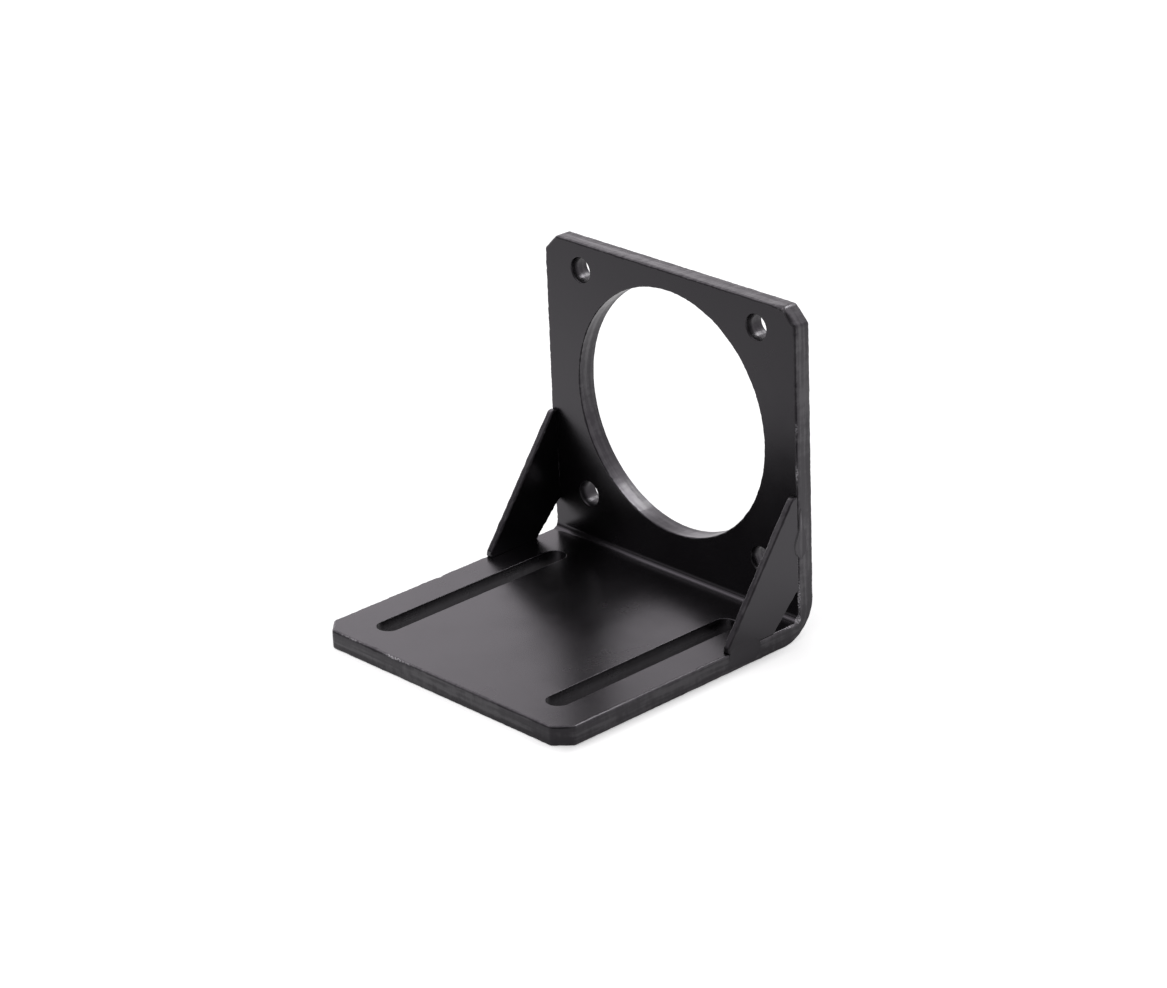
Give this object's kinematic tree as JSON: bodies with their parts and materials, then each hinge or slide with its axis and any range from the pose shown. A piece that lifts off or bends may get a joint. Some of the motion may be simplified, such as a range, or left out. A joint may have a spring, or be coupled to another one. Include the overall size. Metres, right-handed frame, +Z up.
{
  "type": "motor mounting bracket",
  "caption": "Right-angle plate bracket with a large round motor hole and bolt holes in its upright, long slots in its base, clipped corners and a welded gusset at each side.",
  "frame": {"origin": "middle of the part's bounding box in X and Y, on the underside of the base in Z", "axes": "+Z up, square to the base; +Y from the base's front edge towards the upright, whose motor side faces -Y; +X across the bracket, square to its plane of symmetry"},
  "size_m": [0.1002, 0.0974, 0.0985],
  "materials": {
    "black_coat": "satin black coat over plate steel, lightly broken edges, cut marks showing faintly on the edge faces"
  },
  "bodies": {
    "root": {"bent_plate": "black_coat", "left_gusset": "black_coat", "right_gusset": "black_coat", "left_upright_weld": "black_coat", "right_upright_weld": "black_coat", "left_base_weld": "black_coat", "right_base_weld": "black_coat"}
  },
  "joints": []
}
